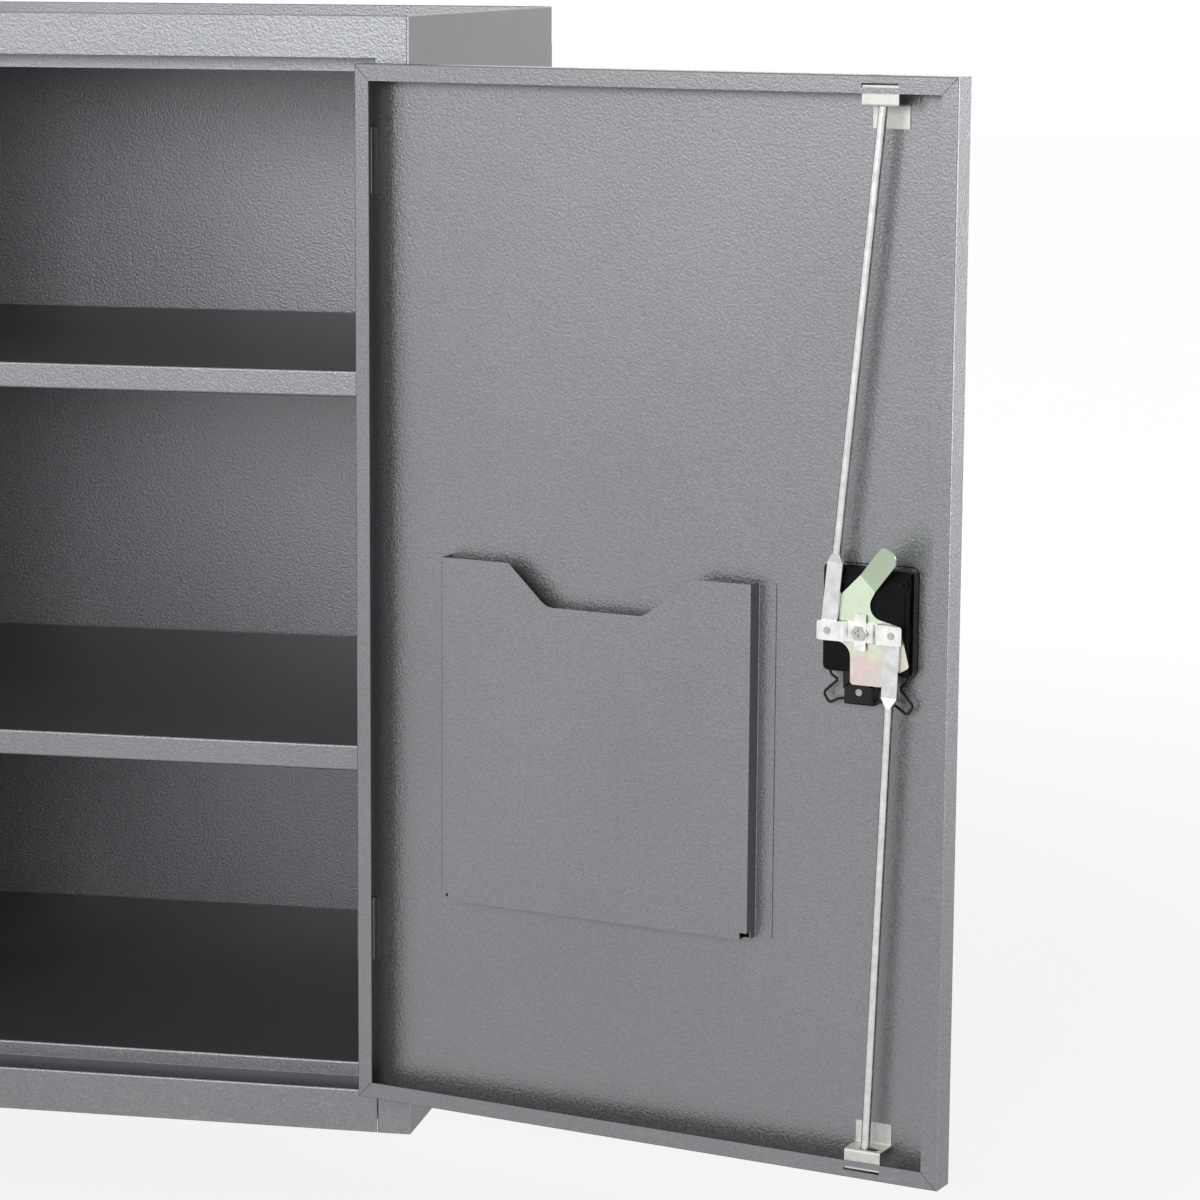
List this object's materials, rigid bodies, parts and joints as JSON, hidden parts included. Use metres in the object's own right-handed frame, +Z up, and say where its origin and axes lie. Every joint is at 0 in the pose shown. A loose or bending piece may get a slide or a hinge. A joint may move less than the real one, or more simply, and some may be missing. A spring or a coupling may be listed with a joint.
{
  "type": "lockable steel cabinet",
  "caption": "Free-standing steel cabinet with a raised tray top, fixed shelves, one inset hinged door, a document pocket and a three-point turn-handle lock.",
  "frame": {"origin": "centre of the cabinet's footprint on the floor, at the middle of the anchor holes", "axes": "+X to the hinge side of the door, +Y to the back, +Z up; the door is stored open"},
  "size_m": [1.1535, 0.8118, 1.016],
  "materials": {
    "powder_coat": "fine textured powder coat",
    "zinc": "zinc plated",
    "yellow_zinc": "yellow zinc plated",
    "black_gloss": "gloss black",
    "black_wire": "black spring wire",
    "white_plastic": "matte",
    "satin_nickel": "satin"
  },
  "bodies": {
    "carcass": {"right_side_panel": "powder_coat", "left_side_panel": "powder_coat", "back_panel": "powder_coat", "top_tray": "powder_coat", "head_rail": "powder_coat", "base_rail": "powder_coat", "floor_pan": "powder_coat", "base_gussets": "powder_coat", "lower_shelf": "powder_coat", "upper_shelf": "powder_coat", "shelf_clips": "zinc", "side_keeper": "zinc", "upper_post_leaf": "powder_coat", "lower_post_leaf": "powder_coat", "hinge_pins": "zinc"},
    "door": {"door_pan": "powder_coat", "upper_door_leaf": "powder_coat", "lower_door_leaf": "powder_coat", "hinge_backings": "powder_coat", "document_pocket": "powder_coat", "pocket_welds": "powder_coat", "upper_rod_guide": "zinc", "lower_rod_guide": "zinc", "lock_housing": "black_gloss", "lock_cylinder": "satin_nickel", "lock_block": "black_gloss", "block_pin": "white_plastic", "wire_clip": "black_wire"},
    "lock_turn": {"turn_handle": "black_gloss", "cam_plate": "yellow_zinc", "rocker_bar": "zinc", "cross_tab": "zinc", "centre_screw": "zinc", "ear_rivets": "zinc"},
    "top_bolt": {"upper_rod": "zinc"},
    "bottom_bolt": {"lower_rod": "zinc"},
    "key_plug": {"cylinder_plug": "satin_nickel"}
  },
  "joints": [
    {"name": "door_swing", "type": "hinge", "parent": "carcass", "child": "door", "pos_m": [0.2873, -0.3092, 0.5], "axis": [0, 0, 1], "range_deg": [-163, 8]},
    {"name": "handle_turn", "type": "hinge", "parent": "door", "child": "lock_turn", "pos_m": [0.75085, -0.471, 0.5135], "axis": [0.2924, 0.9563, 0], "range_deg": [0, 90]},
    {"name": "top_bolt_swing", "type": "hinge", "parent": "lock_turn", "child": "top_bolt", "pos_m": [0.7219, -0.46581, 0.5135], "axis": [0.2924, 0.9563, 0], "range_deg": [-94.5, 0]},
    {"name": "bottom_bolt_swing", "type": "hinge", "parent": "lock_turn", "child": "bottom_bolt", "pos_m": [0.77775, -0.48288, 0.5135], "axis": [0.2924, 0.9563, 0], "range_deg": [-94.5, 0]},
    {"name": "key_turn", "type": "hinge", "parent": "door", "child": "key_plug", "pos_m": [0.75237, -0.45578, 0.459], "axis": [0.2924, 0.9563, 0], "range_deg": [0, 90]}
  ],
  "couplings": [
    {"joint": "top_bolt_swing", "follows": "handle_turn", "ratio": -1.041},
    {"joint": "bottom_bolt_swing", "follows": "handle_turn", "ratio": -1.043}
  ]
}
